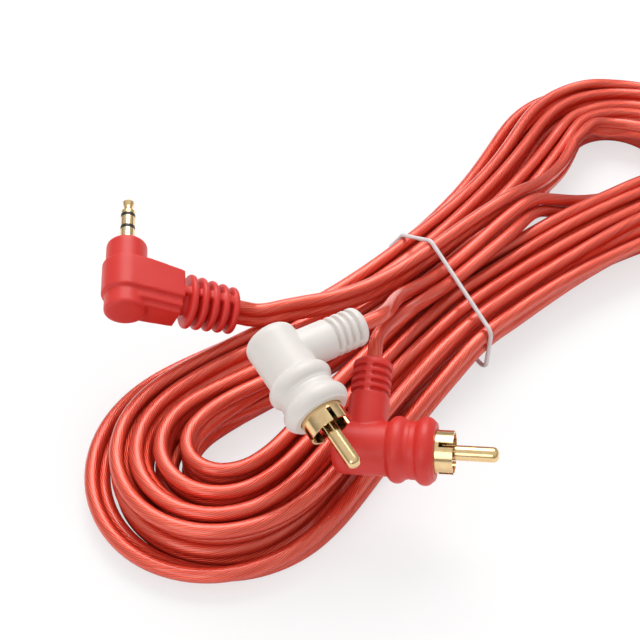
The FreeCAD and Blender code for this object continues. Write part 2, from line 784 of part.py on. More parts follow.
jack_route = [
    along(hank_end, last_heading, 0),
    along(hank_end, last_heading, 10),
    (62.0, 5.6, UPPER + 0.9),
    (50.0, 3.2, UPPER + 4.1),
    (38.0, 3.4, lead_height + 0.4),
    (22.0, 4.4, lead_height + 0.3),
    (4.0, LEAD_SIDE, lead_height),
    (-12.0, 5.2, lead_height),
    (-25.0, 8.4, lead_height),
    (-36.5, 15.4, lead_height + 0.1),
    along(jack_mouth, jack_aim, 4),
    along(jack_mouth, jack_aim, 0),
]
jack_path = route_path(jack_route, "jack lead")
jack_lead = swept(jack_path, twin_section(hank_end, last_heading))
end_section = twin_section(jack_mouth, jack_aim * -1)
cord_in_boot = Part.Face(end_section).extrude(jack_aim * -(jack_room.y - size("jack_core_length")))
solid_piece("jack_cord_end", cord_in_boot)
room = cord_in_boot.copy()
room.Placement = jack_placement.inverse().multiply(room.Placement)
room_tool = doc.addObject("Part::Feature", "jack_cord_room")
room_tool.Shape = room
jack_moulding = doc.addObject("Part::Cut", "jack_moulding")
jack_moulding.Base = jack_body
jack_moulding.Tool = room_tool
jack_moulding.Label = "jack_moulding"
doc.recompute()
keep(jack_moulding, jack_placement)


def single_lead(name, plug, start, middle):
    placement = plug_placement(plug)
    mouth = placement.multVec(Vector(0, size("neck_length"), 0))
    aim = placement.Rotation.multVec(Vector(0, 1, 0))
    route = [along(start, first_heading, 0), along(start, first_heading, -10)]
    route += middle + [along(mouth, aim, 7), along(mouth, aim, 0)]
    spine = route_path(route, name)
    ring = Part.Wire(Part.makeCircle(cord / 2, Vector(*route[0]), first_heading))
    return swept(spine, ring)


up = Vector(0, 0, cord / 2)
red_lead = single_lead("red_lead", "red", hank_start - up, [
    (62.0, -5.2, LOWER + 0.5),
    (51.0, -3.2, LOWER + 5.9),
    (41.0, -1.9, LOWER + 11.5),
    (28.0, -4.5, single_height + 0.5),
    (14.0, -5.0, single_height + 0.3),
    (0.0, -5.4, single_height),
    (-14.0, -7.4, single_height + 4.5),
    (-24.5, -10.5, 25.5),
])
white_lead = single_lead("white_lead", "white", hank_start + up, [
    (62.0, -4.6, LOWER + 4.4),
    (51.0, -2.6, LOWER + 9.9),
    (41.0, -0.5, LOWER + 15.1),
    (28.0, -0.3, single_height + 1.8),
    (14.0, -0.9, single_height + 0.4),
    (0.0, -1.3, single_height),
    (-12.0, -2.8, single_height + 4.5),
    (-23.0, -6.8, 27.5),
])

# Tie: a thin coated wire round the waist, pulled tight over the leads that lie on top. It runs
# round the jackets that stand out furthest and presses a shallow dent into the cord.

tie_radius = size("tie_diameter") / 2
stand_off = tie_radius + size("tie_clearance")
floor_off = tie_radius + size("tie_clearance") / 2
TIE_BEND = cord / 2 + stand_off
TIE_CENTRES = [
    (-waist, TIE_BEND + floor_off),
    (waist, TIE_BEND + floor_off),
    (waist, LOWER + cord / 2),
    (waist - step, UPPER + cord / 2),
    (LEAD_SIDE, lead_height + cord / 2),
    (-waist, UPPER + cord / 2),
]


def tie_path():
    slant = math.radians(size("tie_slant"))
    across, level = Vector(math.sin(slant), math.cos(slant), 0), Vector(0, 0, 1)
    middle = Vector(size("tie_place"), 0, 0)
    centres = [middle + across * (y / math.cos(slant)) + level * z for y, z in TIE_CENTRES]
    count = len(centres)
    outward = []
    for i, centre in enumerate(centres):
        run = centres[(i + 1) % count] - centre
        away = across * run.z - level * run.dot(across)
        outward.append(away.normalize() * TIE_BEND)
    edges = []
    for i, centre in enumerate(centres):
        before, after = outward[i - 1], outward[i]
        between = (before + after).normalize() * TIE_BEND
        edges.append(Part.Arc(centre + before, centre + between, centre + after).toShape())
        following = centres[(i + 1) % count]
        edges.append(Part.LineSegment(centre + after, following + after).toShape())
    return Part.Wire(edges)


loop = tie_path()
loop_start = loop.Edges[0].Vertexes[0].Point
loop_heading = loop.Edges[0].tangentAt(loop.Edges[0].FirstParameter)


def ring_round_loop(radius):
    return swept(loop, Part.Wire(Part.makeCircle(radius, loop_start, loop_heading)))


dent = ring_round_loop(tie_radius + size("tie_clearance"))
tie_wire = ring_round_loop(size("tie_wire_diameter") / 2)
solid_piece("tie_wire", tie_wire)
solid_piece("tie_coating", ring_round_loop(tie_radius).cut(tie_wire))
solid_piece("hank", hank.cut(floor).cut(dent))
solid_piece("jack_lead", jack_lead.cut(dent))
solid_piece("red_lead", red_lead.cut(floor).cut(dent))
solid_piece("white_lead", white_lead.cut(floor).cut(dent))

# The whole lead is moved so that its box stands centred over the origin

box = FreeCAD.BoundBox()
for piece in pieces:
    box.add(piece.Shape.optimalBoundingBox(False, False))
centring = FreeCAD.Placement(Vector(-box.Center.x, -box.Center.y, -box.ZMin), FreeCAD.Rotation())
print("centring", centring.Base, "box", box)
for piece in pieces:
    piece.Placement = centring.multiply(piece.Placement)

doc.recompute()
for feature in doc.Objects:
    if "Invalid" in feature.State or "Error" in feature.State:
        raise RuntimeError(f"{feature.Name} failed: {feature.State}")
os.makedirs("parts", exist_ok=True)
for piece in pieces:
    shape = piece.Shape
    if shape.isNull() or not shape.isValid():
        raise RuntimeError(piece.Label + " has no valid shape")
    print(piece.Label, "solids", len(shape.Solids), "faces", len(shape.Faces),
          "volume", round(shape.Volume, 1))
    shape.exportStep(f"parts/{piece.Label}.step")
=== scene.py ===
import math

import bpy
import numpy as np
from mathutils import Euler, Matrix, Vector


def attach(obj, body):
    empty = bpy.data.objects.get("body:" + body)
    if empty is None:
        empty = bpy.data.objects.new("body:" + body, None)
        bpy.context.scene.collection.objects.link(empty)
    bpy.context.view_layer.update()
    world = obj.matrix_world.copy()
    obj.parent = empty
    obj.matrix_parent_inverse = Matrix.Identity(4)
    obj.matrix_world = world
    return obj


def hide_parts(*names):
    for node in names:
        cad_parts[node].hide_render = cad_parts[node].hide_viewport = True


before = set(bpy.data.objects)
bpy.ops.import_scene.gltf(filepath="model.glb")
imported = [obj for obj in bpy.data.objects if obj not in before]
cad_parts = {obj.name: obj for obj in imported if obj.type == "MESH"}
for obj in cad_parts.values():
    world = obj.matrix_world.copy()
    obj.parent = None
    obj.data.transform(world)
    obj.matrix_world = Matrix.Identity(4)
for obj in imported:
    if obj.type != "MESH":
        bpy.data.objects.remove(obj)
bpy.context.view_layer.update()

# Camera: above the near left of the hank and aimed half-way down at its tied waist. The waist
# stands on the floor at this place of the part's frame.
waist = Vector((-0.013986, -0.002881, 0.0))
camera = bpy.data.objects.new("camera", bpy.data.cameras.new("camera"))
bpy.context.collection.objects.link(camera)
camera.data.sensor_width = 36.0
camera.data.lens = 56.25
camera.data.clip_start = 0.01
camera.location = waist + Vector((-0.15594, -0.11437, 0.190))
camera.rotation_euler = Euler((math.radians(45), 0, math.radians(-45)))
bpy.context.scene.camera = camera
bpy.context.scene.view_settings.view_transform = "Standard"

# Free leads: copper wires in clear red PVC, which leave the hank and run straight into the mouth
# of the plug that was moulded round them. Each is a smooth line led by the points of its route,
# in millimetres from the waist. A plug's place is where its neck's axis crosses its barrel's.
millimetre = 0.001


def plug_place(x, y, z, yaw, pitch, roll):
    turn = Matrix.Rotation(math.radians(yaw), 4, "Z")
    turn = turn @ Matrix.Rotation(math.radians(pitch), 4, "Y")
    turn = turn @ Matrix.Rotation(math.radians(roll), 4, "X")
    return Matrix.Translation(waist + Vector((x, y, z)) * millimetre) @ turn


white_place = plug_place(-61.4, -8.6, 37.0, -102.0, 12.0, -4.0)
red_place = plug_place(-56.5, -28.2, 20.3, -56.0, -9.0, 20.0)
jack_place = plug_place(-68.1, 37.3, 31.0, 49.6, -11.5, 206.0)
neck_mouth, boot_mouth = 0.020, 0.027


def smooth_line(name, points, resolution=8):
    """A smooth open line with these control points, read back as points along it."""
    data = bpy.data.curves.new(name, "CURVE")
    data.dimensions = "3D"
    data.resolution_u = resolution
    spline = data.splines.new("NURBS")
    spline.points.add(len(points) - 1)
    for place, point in zip(spline.points, points):
        place.co = (*point, 1.0)
    spline.order_u = 3
    spline.use_endpoint_u = True
    line = bpy.data.objects.new(name, data)
    bpy.context.collection.objects.link(line)
    mesh = bpy.data.meshes.new_from_object(line)
    found = np.array([vertex.co for vertex in mesh.vertices])
    bpy.data.objects.remove(line)
    bpy.data.meshes.remove(mesh)
    return found


def from_waist(points):
    return [waist + Vector(point) * millimetre for point in points]


def into(place, mouth):
    """The last points of a lead: straight into the mouth, and one millimetre in."""
    return [place @ Vector((0, mouth + past, 0)) for past in (0.007, 0.001, -0.001)]


# each jacket's thickness, in millimetres, and its radius, in metres
jacket, jacket_radius = 3.4, 0.0017
# heights of the twin cord's middle in the hank's two layers, and of the leads on top of them
lower, upper = 3.45, 10.31
lead_height, single_height = 17.41, 15.71
hank_start = Vector((81.103, -11.735, lower))
hank_end = Vector((81.103, 11.735, upper))
start_aim = Vector((-0.929, 0.370, 0.0))
end_aim = Vector((-0.929, -0.370, 0.0))

jack_line = smooth_line("jack_line", from_waist([
    hank_end, hank_end + end_aim * 10,
    (62.0, 5.6, upper + 0.9), (50.0, 3.2, upper + 4.1), (38.0, 3.4, lead_height + 0.4),
    (22.0, 4.4, lead_height + 0.3), (4.0, 4.5, lead_height), (-12.0, 5.2, lead_height),
    (-25.0, 8.4, lead_height), (-36.5, 15.4, lead_height + 0.1),
]) + into(jack_place, boot_mouth))
half = Vector((0, 0, jacket / 2))
red_line = smooth_line("red_line", from_waist([
    hank_start - half, hank_start - half + start_aim * 10,
    (62.0, -5.2, lower + 0.2), (51.0, -3.2, lower + 5.5), (41.0, -1.9, lower + 11.1),
    (28.0, -4.5, single_height + 0.5), (14.0, -5.0, single_height + 0.3),
    (0.0, -5.4, single_height), (-14.0, -7.4, single_height + 4.5), (-24.5, -10.5, 25.5),
]) + into(red_place, neck_mouth))
white_line = smooth_line("white_line", from_waist([
    hank_start + half, hank_start + half + start_aim * 10,
    (62.0, -4.6, lower + 4.0), (51.0, -2.6, lower + 9.5), (41.0, -0.5, lower + 14.7),
    (28.0, -0.3, single_height + 1.8), (14.0, -0.9, single_height + 0.4),
    (0.0, -1.3, single_height), (-12.0, -2.8, single_height + 4.5), (-23.0, -6.8, 27.5),
]) + into(white_place, neck_mouth))

# Hank: ten loops of twin cord in two layers, wound in a dog-bone and tied at the waist. The turns
# fan out at both ends, each a little longer or shorter than the next, and are then settled, so
# that the two joined jackets rest on the floor and on each other. Sizes are in millimetres.
step = 4.6
waist_half = 20.5
loops_in_layer = 5
quarter = 40
left_end, right_end = (72.0, 30.3, -1), (94.0, 38.5, 1)
left_fan, right_fan = 1.08, 1.25
tie_place, tie_slant = 2.3, math.tan(math.radians(17))
rng = np.random.default_rng(11)


def half_turn(reach, radius, sign, shift, inset, fan, stray, dip):
    """Points of one half turn: a flare from the waist, the round end, and a flare back.

    The outermost turn has this reach and radius, and a turn further in is inset by so much, times
    the fan where the turns spread. It strays by slow waves, and dips inwards at its far end.
    """
    flare = (reach ** 2 + waist_half ** 2 - radius ** 2) / (2 * (radius - waist_half))
    tilt = math.asin(reach / (flare + radius))
    u = np.linspace(0.0, 1.0, 4 * quarter + 1)
    share = 2 - np.abs(4 * u - 2)
    ease = np.clip(share - 0.25, 0.0, 1.0)
    ease = ease * ease * (3 - 2 * ease)
    drift = sum(size * np.sin((k + 1) * math.pi * u) for k, size in enumerate(stray))
    inset = inset * (1 + (fan - 1) * ease) + drift * ease
    inset = inset + dip * np.sin(math.pi * np.clip((u - 0.25) * 2, 0.0, 1.0)) ** 2
    flared = share <= 1
    bend = share * tilt
    x = (flare + inset) * np.sin(bend)
    y = waist_half + flare - (flare + inset) * np.cos(bend)
    turn = tilt - (share - 1) * (tilt + math.pi / 2)
    x = np.where(flared, x, reach - (radius - inset) * np.sin(turn))
    y = np.where(flared, y, (radius - inset) * np.cos(turn))
    side = np.where(u < 0.5, -sign, sign)
    return np.stack([sign * x, shift + side * y, np.zeros_like(x)], axis=1)


runs = [np.array([hank_start])]


def add_turn(end, shift, inset, fan, height, keep=slice(None), climb=0.0, dip=0.0):
    """Winds on one half turn, which strays less at the tidier left end. It climbs at its end."""
    stray = rng.normal(0.0, 1.0, 3) * (0.7, 0.5, 0.35) * (1.0 if end[2] > 0 else 0.5)
    points = half_turn(*end, shift, inset, fan, stray, dip)
    rise = np.clip(np.linspace(0.0, 1.0, len(points)) * 4 - 3, 0.0, 1.0)
    points[:, 2] = height + climb * rise * rise * (3 - 2 * rise)
    runs.append(points[keep])


inner = (loops_in_layer - 1) * step
add_turn(right_end, step / 2, inner + step / 2, 1.0, lower, slice(quarter, None), dip=4.0)
for turn in range(loops_in_layer - 1):
    inset = inner - turn * step
    add_turn(left_end, 0.0, inset, left_fan, lower)
    add_turn(right_end, step / 2, inset - step / 2, right_fan, lower)
add_turn(left_end, 0.0, 0.0, left_fan, lower, climb=upper - lower)
for turn in range(loops_in_layer - 1):
    inset = step / 2 + turn * step
    add_turn(right_end, -step / 2, inset, right_fan, upper)
    add_turn(left_end, 0.0, inset + step / 2, left_fan, upper)
add_turn(right_end, -step / 2, inner + step / 2, 1.0, upper, slice(0, 3 * quarter + 1), dip=6.0)


def even(points, spacing=2.5):
    """The same line with evenly spaced points."""
    steps = np.linalg.norm(np.diff(points, axis=0), axis=1)
    at = np.concatenate([[0.0], np.cumsum(steps)])
    count = max(2, round(at[-1] / spacing) + 1)
    wanted = np.linspace(0.0, at[-1], count)
    return np.stack([np.interp(wanted, at, points[:, axis]) for axis in range(3)], axis=1)


def pull(a, b, want, free_a, free_b):
    """Moves two rows of points, where they are free, to the distance that they should keep."""
    gap = b - a
    length = np.linalg.norm(gap, axis=1)[:, None]
    move = gap * (1 - want / length) / np.maximum(free_a + free_b, 1)
    a += move * free_a
    b -= move * free_b


def settle(middle, others, rounds):
    """Settles the twin cord: its two jackets stay joined, clear of one another and of the floor.

    The other leads, the hank's two ends and the stretches under the tie are held where they are.
    """
    gripped, upright_by, relaxed_over = 3, 6, 30  # distances from the tie
    lean_every, lean_size = 16, 0.35  # points between the cord's leans, and their size in radians
    sink, straighten = 0.012, 0.12  # a round's fall, and the share of each bend that it draws out
    watched, clear = 6.0, 3.58  # points this near are watched, and then kept this far apart
    neighbours = 4  # points so few apart along the cord don't push each other
    elsewhere = 10 ** 6  # numbers the other leads' points far from the cord's
    count = len(middle)
    marks = np.arange(0, count + lean_every, lean_every)
    lean = np.interp(np.arange(count), marks, rng.normal(0.0, lean_size, len(marks)))
    off_tie = np.abs(middle[:, 0] - tie_place - tie_slant * middle[:, 1])
    lean *= np.clip((off_tie - upright_by) / relaxed_over, 0, 1)
    along = np.gradient(middle, axis=0)
    along /= np.linalg.norm(along, axis=1)[:, None]
    across = np.stack([along[:, 1], -along[:, 0], np.zeros(count)], axis=1)
    rise = np.array([0, 0, 1.0]) * np.cos(lean)[:, None] + across * np.sin(lean)[:, None]
    rows = np.concatenate([middle + rise * jacket / 2, middle - rise * jacket / 2, others])
    held = np.ones(len(rows), bool)
    held[:2 * count] = np.tile(off_tie < gripped, 2)
    for end in (0, 1, 2, count - 3, count - 2, count - 1):
        held[[end, end + count]] = True
    free = (~held).astype(float)[:, None]
    home = rows.copy()
    index = np.concatenate([np.arange(count), np.arange(count), np.arange(len(others)) + elsewhere])
    rest = np.linalg.norm(np.diff(rows[:2 * count].reshape(2, count, 3), axis=1), axis=2)
    for round_number in range(rounds):
        if round_number % 10 == 0:
            size = (rows ** 2).sum(1)
            apart = size[:, None] + size[None] - 2 * rows @ rows.T
            one, two = np.nonzero(np.triu(apart < watched ** 2, 1))
            far = np.abs(index[one] - index[two]) > neighbours
            far &= ~(held[one] & held[two])
            one, two = one[far], two[far]
        rows[:, 2] -= sink * free[:, 0]
        # each jacket keeps its length and draws itself straight
        for side, start in enumerate((0, count)):
            line = rows[start:start + count]
            loose = free[start:start + count]
            for first in (0, 1):
                a, b = line[first:-1:2], line[first + 1::2]
                a, b = a[:len(b)], b[:len(a)]
                pull(a, b, rest[side][first::2][:len(a), None],
                     loose[first:-1:2][:len(a)], loose[first + 1::2][:len(b)])
            beside = (line[4:-6] + line[6:-4]) / 2
            line[5:-5] += (beside - line[5:-5]) * straighten * loose[5:-5]
        # the two jackets stay joined
        pull(rows[:count], rows[count:2 * count], jacket, free[:count], free[count:2 * count])
        # no jacket lies in another, nor in the floor
        gap = rows[two] - rows[one]
        length = np.linalg.norm(gap, axis=1)
        touch = length < clear
        i, j, gap, length = one[touch], two[touch], gap[touch], length[touch]
        move = gap * ((length - clear) / length * 0.5)[:, None]
        change, hits = np.zeros_like(rows), np.zeros(len(rows))
        np.add.at(change, i, move)
        np.add.at(change, j, -move)
        np.add.at(hits, i, 1)
        np.add.at(hits, j, 1)
        rows += change / np.maximum(hits, 1)[:, None] ** 0.6 * free
        rows[:2 * count, 2] = np.maximum(rows[:2 * count, 2], jacket / 2 + 0.02)
        rows[held] = home[held]
    return rows[:count], rows[count:2 * count]


def in_hank(line):
    return (line - np.array(waist)) * 1000


def standing(line, offset):
    """The line moved along the upright of its own course: a twin cord on edge."""
    along = np.gradient(line, axis=0)
    along /= np.linalg.norm(along, axis=1)[:, None]
    rise = np.array([0, 0, 1.0]) - along * along[:, 2:]
    return line + rise / np.linalg.norm(rise, axis=1)[:, None] * offset


def hank_line(name, points):
    """One jacket's line: every third settled point is a control point of its spline."""
    return smooth_line(name, from_waist(np.concatenate([points[:-1:3], points[-1:]])), 4)


laid = even(np.concatenate(runs[:2] + [run[1:] for run in runs[2:]]))
leads = [even(in_hank(line)) for line in (red_line, white_line)]
leads += [standing(even(in_hank(jack_line)), side * jacket / 2) for side in (1, -1)]
top_line, bottom_line = settle(laid, np.concatenate([line[3:] for line in leads]), 130)
twin_top = np.concatenate(
    [hank_line("twin_top", top_line), standing(jack_line, jacket_radius)[1:]])
twin_bottom = np.concatenate(
    [hank_line("twin_bottom", bottom_line), standing(jack_line, -jacket_radius)[1:]])

# Jackets: clear red PVC, extruded tightly over a bundle of twisted copper wires, so that it works
# as a lens and the bright copper seems to fill it: salmon where one looks straight in, deep red at
# the sides, where more PVC lies before it. The finish is mostly metal, under a tinted coat.


def linear(hex_colour):
    """An sRGB colour written in hex, as the linear colour that a socket takes."""
    levels = [int(hex_colour[i:i + 2], 16) / 255 for i in (1, 3, 5)]
    return tuple(v / 12.92 if v <= 0.04045 else ((v + 0.055) / 1.055) ** 2.4
                 for v in levels) + (1.0,)


def add(material, kind, settings=(), **links):
    """Adds a node with its settings, and links or sets its inputs by name, or by number as _0."""
    node = material.node_tree.nodes.new(kind)
    for name, value in dict(settings).items():
        setattr(node, name, value)
    for name, value in links.items():
        numbered = name[1:].isdigit()
        socket = node.inputs[int(name[1:]) if numbered else name.replace("_", " ")]
        if isinstance(value, bpy.types.NodeSocket):
            material.node_tree.links.new(value, socket)
        else:
            socket.default_value = value
    return node


def new_material(name):
    material = bpy.data.materials.new(name)
    material.use_nodes = True
    material.node_tree.nodes.clear()
    return material


# the real wires are about 0.12 mm thick, too fine to show, and are drawn 0.4 mm apart on the twin
# cord and 0.25 mm apart on the single ones; they go once round the cord in 90 mm
wire_count, wire_pitch = 44.0, 0.09
cord_finish = new_material("stranded_copper_in_clear_red_PVC")
spots = add(cord_finish, "ShaderNodeUVMap", {"uv_map": "cord"})
split = add(cord_finish, "ShaderNodeSeparateXYZ", Vector=spots.outputs[0])
wires = add(cord_finish, "ShaderNodeMath", {"operation": "MULTIPLY"},
            _0=split.outputs[0], _1=wire_count)
twist = add(cord_finish, "ShaderNodeMath", {"operation": "MULTIPLY_ADD"},
            _0=split.outputs[1], _1=wire_count / wire_pitch, _2=wires.outputs[0])
phase = add(cord_finish, "ShaderNodeMath", {"operation": "MULTIPLY"},
            _0=twist.outputs[0], _1=2 * math.pi)
crest = add(cord_finish, "ShaderNodeMath", {"operation": "SINE"}, _0=phase.outputs[0])
which = add(cord_finish, "ShaderNodeMath", {"operation": "FLOOR"}, _0=twist.outputs[0])
each = add(cord_finish, "ShaderNodeTexWhiteNoise", {"noise_dimensions": "1D"}, W=which.outputs[0])
tint = add(cord_finish, "ShaderNodeMix", {"data_type": "RGBA"}, Factor=each.outputs["Value"],
           _6=linear("#E8836E"), _7=linear("#FAAA96"))
# painted shade: the wires' colour is darkened down to 0.62 in the grooves between them, besides the
# bump that sinks these grooves
groove = add(cord_finish, "ShaderNodeMapRange", Value=crest.outputs[0], From_Min=-1.0,
             From_Max=-0.1, To_Min=0.62, To_Max=1.0)
wire_colour_with_painted_shade = add(cord_finish, "ShaderNodeMix", {"data_type": "RGBA", "blend_type": "MULTIPLY"},
            Factor=1.0, _6=tint.outputs[2], _7=groove.outputs[0])
ridge = add(cord_finish, "ShaderNodeBump", Height=crest.outputs[0], Strength=0.35,
            Distance=0.00008)
copper = add(cord_finish, "ShaderNodeBsdfPrincipled", Base_Color=wire_colour_with_painted_shade.outputs[2], Metallic=0.6,
             Roughness=0.34, IOR=1.5, Coat_Weight=1.0, Coat_Roughness=0.12, Coat_IOR=1.5,
             Coat_Tint=linear("#FFA594"), Normal=ridge.outputs[0])
add(cord_finish, "ShaderNodeOutputMaterial", Surface=copper.outputs[0])


def sweep(name, centres, uprights, section):
    """A skin with this section along a line; its UV map runs round it and along it in metres."""
    along = np.gradient(centres, axis=0)
    along /= np.linalg.norm(along, axis=1)[:, None]
    rise = uprights - along * (uprights * along).sum(1)[:, None]
    rise /= np.linalg.norm(rise, axis=1)[:, None]
    across = np.cross(along, rise)
    section = np.array(section)
    count, sides = len(centres), len(section)
    ring = (centres[:, None] + rise[:, None] * section[None, :, :1]
            + across[:, None] * section[None, :, 1:])
    steps = np.linalg.norm(np.diff(centres, axis=0), axis=1)
    at = np.concatenate([[0.0], np.cumsum(steps)])
    faces = [(i * sides + j, i * sides + (j + 1) % sides, (i + 1) * sides + (j + 1) % sides,
              (i + 1) * sides + j) for i in range(count - 1) for j in range(sides)]
    spots = [((j + k) / sides, at[i + m]) for i in range(count - 1) for j in range(sides)
             for k, m in ((0, 0), (1, 0), (1, 1), (0, 1))]
    faces += [tuple(range(sides))[::-1], tuple(range((count - 1) * sides, count * sides))]
    spots += [(0.0, 0.0)] * sides + [(0.0, at[-1])] * sides
    mesh = bpy.data.meshes.new(name)
    mesh.from_pydata(ring.reshape(-1, 3), [], faces)
    layer = mesh.uv_layers.new(name="cord")
    layer.data.foreach_set("uv", np.array(spots, dtype=np.float32).ravel())
    mesh.shade_smooth()
    piece = bpy.data.objects.new(name, mesh)
    bpy.context.collection.objects.link(piece)
    return piece


def dress(piece, material, slot, *nodes):
    """Gives a piece its material and the CAD nodes that it stands for; its slot is not used."""
    piece.data.materials.clear()
    piece.data.materials.append(material)
    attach(piece, "root")
    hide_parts(*nodes)
    return piece


def round_section(radius, sides):
    return [(radius * math.cos(2 * math.pi * k / sides), radius * math.sin(2 * math.pi * k / sides))
            for k in range(sides)]


def twin_section(radius, corners):
    """Two round jackets one above the other, joined by a narrow web."""
    angles = [math.radians(-152 + 304 * k / (corners - 1)) for k in range(corners)]
    one = [(radius + radius * math.cos(a), radius * math.sin(a)) for a in angles]
    return one + [(-x, -y) for x, y in one]


# the smoothed lines cut their corners a little, so the cord is set back on the floor, with its
# lower jacket's middle at this height
floor_height = 0.00172
middle, on_edge = (twin_top + twin_bottom) / 2, twin_top - twin_bottom
on_edge /= np.linalg.norm(on_edge, axis=1)[:, None]
middle[:, 2] = np.maximum(middle[:, 2], floor_height + jacket_radius * np.abs(on_edge[:, 2]))
twin = sweep("twin_jacket", middle, on_edge, twin_section(jacket_radius, 14))
dress(twin, cord_finish, "cord_jacket", "hank", "jack_lead")
upright = np.array([[0.0, 0.0, 1.0]])
red_cord = sweep("red_lead_jacket", red_line, upright, round_section(jacket_radius, 24))
dress(red_cord, cord_finish, "cord_jacket", "red_lead")
white_cord = sweep("white_lead_jacket", white_line, upright, round_section(jacket_radius, 24))
dress(white_cord, cord_finish, "cord_jacket", "white_lead")

# Jack's moulding: a right-angle body of soft red PVC injected round the soldered contacts. A head
# that steps in twice towards a raised disc at its back, a collar round the shaft, and a boot of
# five oval ribs on a thin spine, so that it can bend with the cord. Sizes are in millimetres.


def moulded_pvc(name, low, high, rough):
    """Soft PVC from a spark-eroded mould: satin, with faint clouds 6 mm across and an even grain.

    The real grain is about 0.05 mm, and is drawn 0.24 mm so that it shows.
    """
    material = new_material(name)
    place = add(material, "ShaderNodeTexCoord").outputs["Object"]
    cloud = add(material, "ShaderNodeTexNoise", Vector=place, Scale=160.0, Detail=3.0)
    colour = add(material, "ShaderNodeMix", {"data_type": "RGBA"}, Factor=cloud.outputs["Fac"],
                 _6=linear(low), _7=linear(high))
    fine = add(material, "ShaderNodeTexNoise", Vector=place, Scale=4200.0, Detail=2.0)
    rub = add(material, "ShaderNodeMapRange", Value=cloud.outputs["Fac"], To_Min=rough - 0.07,
              To_Max=rough + 0.07)
    bump = add(material, "ShaderNodeBump", Height=fine.outputs["Fac"], Strength=0.16,
               Distance=0.00006)
    satin = add(material, "ShaderNodeBsdfPrincipled", Base_Color=colour.outputs[2],
                Roughness=rub.outputs[0], IOR=1.5, Subsurface_Weight=0.12,
                Subsurface_Radius=(0.0012, 0.0005, 0.0004), Subsurface_Scale=1.0,
                Normal=bump.outputs[0])
    add(material, "ShaderNodeOutputMaterial", Surface=satin.outputs[0])
    return material


def lathe(profile, axis, flat=1.0):
    """A closed solid turned about X or Y from (place, radius) pairs that start and end at 0.

    One that is turned about Y may be flattened along Z.
    """
    sides = 96
    verts, faces = [], []
    for place, radius in profile[1:-1]:
        for k in range(sides):
            a = 2 * math.pi * k / sides
            u, v = radius * math.cos(a) * flat, radius * math.sin(a)
            verts.append((place, u, v) if axis == "X" else (v, place, u))
    rings = len(profile) - 2
    for i in range(rings - 1):
        for k in range(sides):
            n = (k + 1) % sides
            faces.append((i * sides + k, (i + 1) * sides + k, (i + 1) * sides + n, i * sides + n))
    for ring, (place, _), turn in ((0, profile[0], 1), (rings - 1, profile[-1], -1)):
        verts.append((place, 0, 0) if axis == "X" else (0, place, 0))
        hub = len(verts) - 1
        for k in range(sides):
            pair = (ring * sides + k, ring * sides + (k + 1) % sides)[::turn]
            faces.append((hub, *pair))
    return verts, faces


def block(low, high):
    """A plain bar between two corners, for a web or a bridge that is rounded with the rest."""
    xs, ys, zs = zip(low, high)
    verts = [(x, y, z) for x in xs for y in ys for z in zs]
    faces = [(0, 1, 3, 2), (4, 6, 7, 5), (0, 4, 5, 1), (2, 3, 7, 6), (0, 2, 6, 4), (1, 5, 7, 3)]
    return verts, faces


def prism(outline, low, high):
    """A plate with this outline in Y and Z, from one place along X to another."""
    count = len(outline)
    verts = [(low, y, z) for y, z in outline] + [(high, y, z) for y, z in outline]
    faces = [(k, (k + 1) % count, count + (k + 1) % count, count + k) for k in range(count)]
    return verts, faces + [tuple(range(count))[::-1], tuple(range(count, 2 * count))]


def rounded_rim(low, high, radius, rim):
    """The (place, radius) pairs of a disc whose rim is rounded."""
    arc = [math.radians(a) for a in range(0, 91, 15)]
    first = [(low + rim - rim * math.cos(a), radius - rim + rim * math.sin(a)) for a in arc]
    return [(low, 0.0)] + first + [(low + high - p, r) for p, r in first[::-1]] + [(high, 0.0)]


def moulded(name, solids, place, voxel, rounds, shaped):
    """Joins closed solids into one skin, rounds every edge, shapes it and sets it in its place."""
    verts, faces = [], []
    for more_verts, more_faces in solids:
        base = len(verts)
        verts += more_verts
        faces += [tuple(base + i for i in face) for face in more_faces]
    mesh = bpy.data.meshes.new(name)
    mesh.from_pydata(verts, [], faces)
    piece = bpy.data.objects.new(name, mesh)
    bpy.context.collection.objects.link(piece)
    skin = piece.modifiers.new("skin", "REMESH")
    skin.mode = "VOXEL"
    skin.voxel_size = voxel
    skin.use_smooth_shade = True
    soften = piece.modifiers.new("soften", "SMOOTH")
    soften.factor = 0.5
    soften.iterations = rounds
    bpy.context.view_layer.update()
    depsgraph = bpy.context.evaluated_depsgraph_get()
    done = bpy.data.meshes.new_from_object(piece.evaluated_get(depsgraph))
    piece.modifiers.clear()
    piece.data = done
    bpy.data.meshes.remove(mesh)
    done.name = name
    points = np.empty(len(done.vertices) * 3, dtype=np.float32)
    done.vertices.foreach_get("co", points)
    points = shaped(points.reshape(-1, 3))
    turn = np.array(place @ Matrix.Scale(millimetre, 4))
    points = points @ turn[:3, :3].T + turn[:3, 3]
    done.vertices.foreach_set("co", points.astype(np.float32).ravel())
    done.shade_smooth()
    return piece


head_radius, arm_root, arm_tip, arm_end = 5.6, 5.45, 5.0, 13.0


def head_outline(inset):
    """Half a circle about the shaft, run straight on into the arm."""
    radius = head_radius - inset
    arc = [math.radians(a) for a in range(90, 271, 6)]
    around = [(radius * math.cos(a), radius * math.sin(a)) for a in arc]
    end = arm_end - inset * 0.3
    return [(end, arm_tip - inset), (5.0, arm_root - inset)] + around + [
        (5.0, -arm_root + inset), (end, -arm_tip + inset)]


first_rib, rib_gap, rib_half = 15.35, 2.71, 0.84
ribs = []
for rib in range(5):
    at = first_rib + rib_gap * rib
    wide, tall = 6.9 - 0.2 * rib, 6.0 - 0.22 * rib
    rim = rounded_rim(at - rib_half, at + rib_half, wide, 0.8)
    ribs.append(lathe(rim, "Y", flat=tall / wide))
